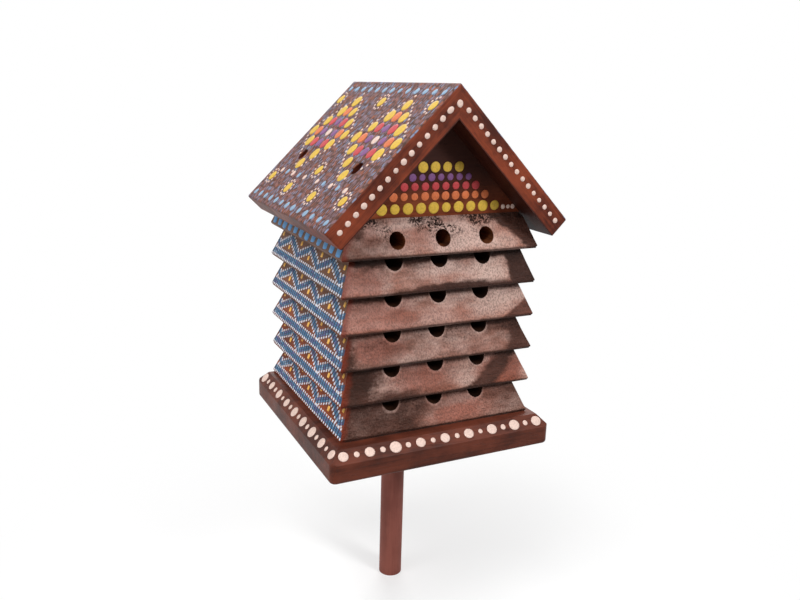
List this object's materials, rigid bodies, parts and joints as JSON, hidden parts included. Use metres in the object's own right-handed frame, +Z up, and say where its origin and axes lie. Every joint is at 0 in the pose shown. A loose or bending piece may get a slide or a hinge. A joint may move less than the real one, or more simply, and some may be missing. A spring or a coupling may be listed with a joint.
{
  "type": "bee hotel",
  "caption": "House-shaped bee hotel on a round stake: flared louvre trays with nest tunnels that lift off, a gabled roof and dot-painted stained wood.",
  "frame": {"origin": "on the stake's axis at the underside of the base plate", "axes": "+Z up along the stake, the tunnel mouths face -Y, +X to the right seen from the front"},
  "size_m": [0.156, 0.1535, 0.4233],
  "materials": {
    "base_wood": "red-brown stained and varnished wood, painted dot border",
    "stake_wood": "red-brown stained round stake",
    "tray_wood": "stained wood with a worn, dry-brushed pale wash",
    "nest_wood": "stained wood with a paler worn wash and dark specks",
    "gable_wood": "stained wood with painted dots",
    "roof_wood": "stained wood with painted dots and dashes",
    "dowel_wood": "plain beech",
    "screw_steel": "dark zinc-plated steel"
  },
  "bodies": {
    "base": {"base_plate": "base_wood", "stake": "stake_wood", "base_screws": "screw_steel", "tray_1": "tray_wood", "dowels_1": "dowel_wood"},
    "tray_2": {"tray_2": "tray_wood", "dowels_2": "dowel_wood"},
    "tray_3": {"tray_3": "tray_wood", "dowels_3": "dowel_wood"},
    "tray_4": {"tray_4": "tray_wood", "dowels_4": "dowel_wood"},
    "tray_5": {"tray_5": "tray_wood", "dowels_5": "dowel_wood"},
    "roof": {"nest_block": "nest_wood", "gable_front": "gable_wood", "gable_back": "gable_wood", "gable_screws": "screw_steel", "roof_left": "roof_wood", "roof_right": "roof_wood", "roof_screws": "screw_steel"}
  },
  "joints": [
    {"name": "tray_2_lift", "type": "slide", "parent": "base", "child": "tray_2", "axis": [0, 0, 1], "range_m": [0, 0.06]},
    {"name": "tray_3_lift", "type": "slide", "parent": "tray_2", "child": "tray_3", "axis": [0, 0, 1], "range_m": [0, 0.06]},
    {"name": "tray_4_lift", "type": "slide", "parent": "tray_3", "child": "tray_4", "axis": [0, 0, 1], "range_m": [0, 0.06]},
    {"name": "tray_5_lift", "type": "slide", "parent": "tray_4", "child": "tray_5", "axis": [0, 0, 1], "range_m": [0, 0.06]},
    {"name": "roof_lift", "type": "slide", "parent": "tray_5", "child": "roof", "axis": [0, 0, 1], "range_m": [0, 0.06]}
  ]
}
